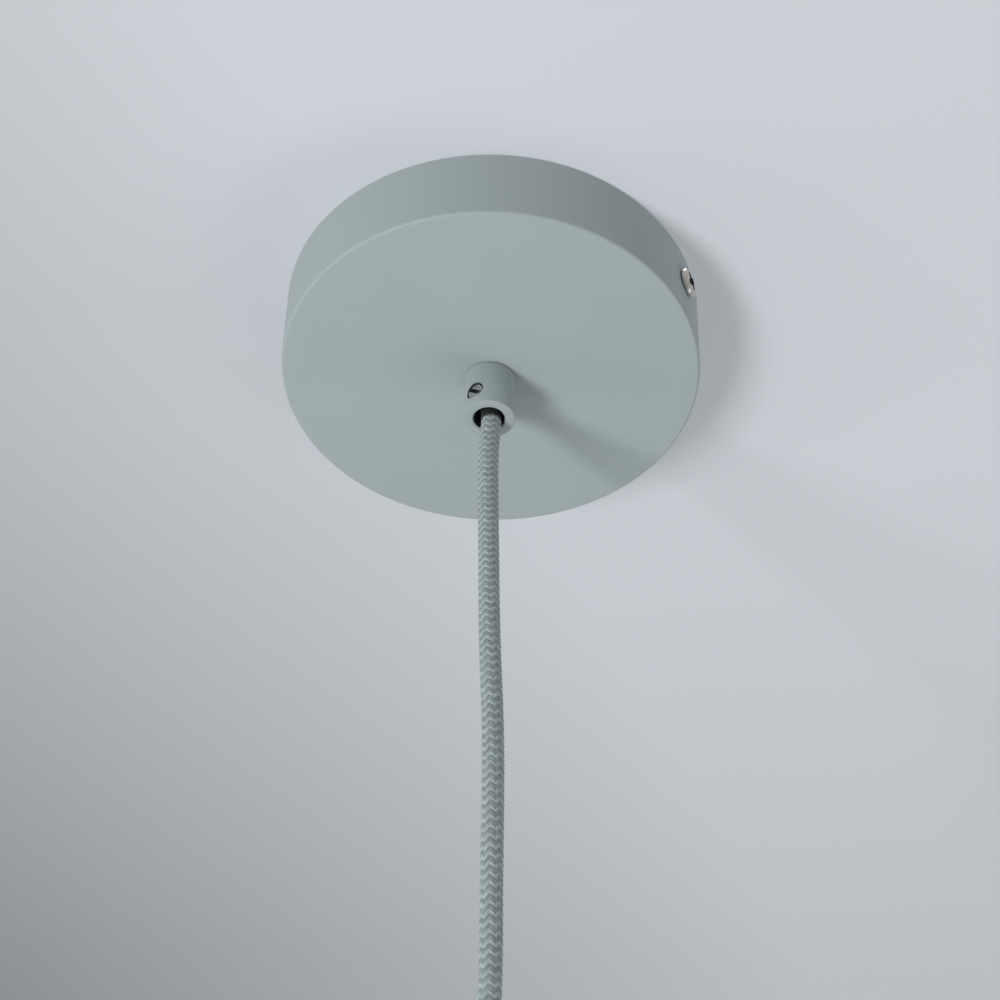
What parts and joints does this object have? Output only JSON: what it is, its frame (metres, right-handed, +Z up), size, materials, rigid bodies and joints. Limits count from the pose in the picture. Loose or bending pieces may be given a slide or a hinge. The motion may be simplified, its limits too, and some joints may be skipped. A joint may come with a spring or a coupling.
{
  "type": "pendant light",
  "caption": "Pendant light: round ceiling canopy with side screws, cord grip, fabric-covered cord and a plain lamp holder with a screw socket.",
  "frame": {"origin": "centre of the canopy's ceiling plane, on the bracket's top face", "axes": "+Z up into the ceiling; the bracket and the two side screws lie along X"},
  "size_m": [0.1254, 0.12, 0.3953],
  "materials": {
    "grey_paint": "matte light grey paint",
    "nickel": "nickel plate",
    "plated_steel": "zinc plate",
    "brass": "bare brass",
    "white_nylon": "natural nylon",
    "white_insulator": "moulded gloss white",
    "brown_insulation": "brown insulation",
    "blue_insulation": "blue insulation",
    "earth_insulation": "green and yellow insulation",
    "textile_sleeve": "two-colour herringbone braid",
    "shrink_sleeve": "black shrink sleeve"
  },
  "bodies": {
    "root": {"canopy_cup": "grey_paint", "canopy_screw_left": "nickel", "canopy_screw_right": "nickel", "ceiling_bracket": "plated_steel", "centre_contact": "brass", "clamp_screw_earth_inner": "brass", "clamp_screw_earth_outer": "brass", "clamp_screw_live_inner": "brass", "clamp_screw_live_outer": "brass", "clamp_screw_neutral_inner": "brass", "clamp_screw_neutral_outer": "brass", "contact_rivet": "brass", "cord": "textile_sleeve", "cord_collar": "shrink_sleeve", "cord_grip_body": "grey_paint", "cord_grip_grub_screw": "plated_steel", "cord_grip_lock_washer": "plated_steel", "cord_grip_nut": "brass", "core_earth": "earth_insulation", "core_live": "brown_insulation", "core_neutral": "blue_insulation", "earth_core_terminal": "plated_steel", "earth_lead": "earth_insulation", "earth_lead_terminal": "plated_steel", "earth_screw": "brass", "earth_washer": "plated_steel", "holder_earth_tag": "plated_steel", "holder_grip_body": "grey_paint", "holder_grip_grub_screw": "plated_steel", "holder_grip_lock_washer": "plated_steel", "holder_grip_nut": "brass", "holder_shell": "grey_paint", "lower_cord_collar": "shrink_sleeve", "lower_core_earth": "earth_insulation", "lower_core_live": "brown_insulation", "lower_core_neutral": "blue_insulation", "socket_body": "white_insulator", "socket_clamp_screw_live": "brass", "socket_clamp_screw_neutral": "brass", "socket_stirrup": "plated_steel", "socket_terminal_live": "brass", "socket_terminal_neutral": "brass", "socket_thread": "brass", "stirrup_screw_left": "plated_steel", "stirrup_screw_right": "plated_steel", "terminal_barrel_earth": "brass", "terminal_barrel_live": "brass", "terminal_barrel_neutral": "brass", "terminal_block": "white_nylon", "terminal_block_screw": "plated_steel", "thread_rivet": "brass"}
  },
  "joints": []
}
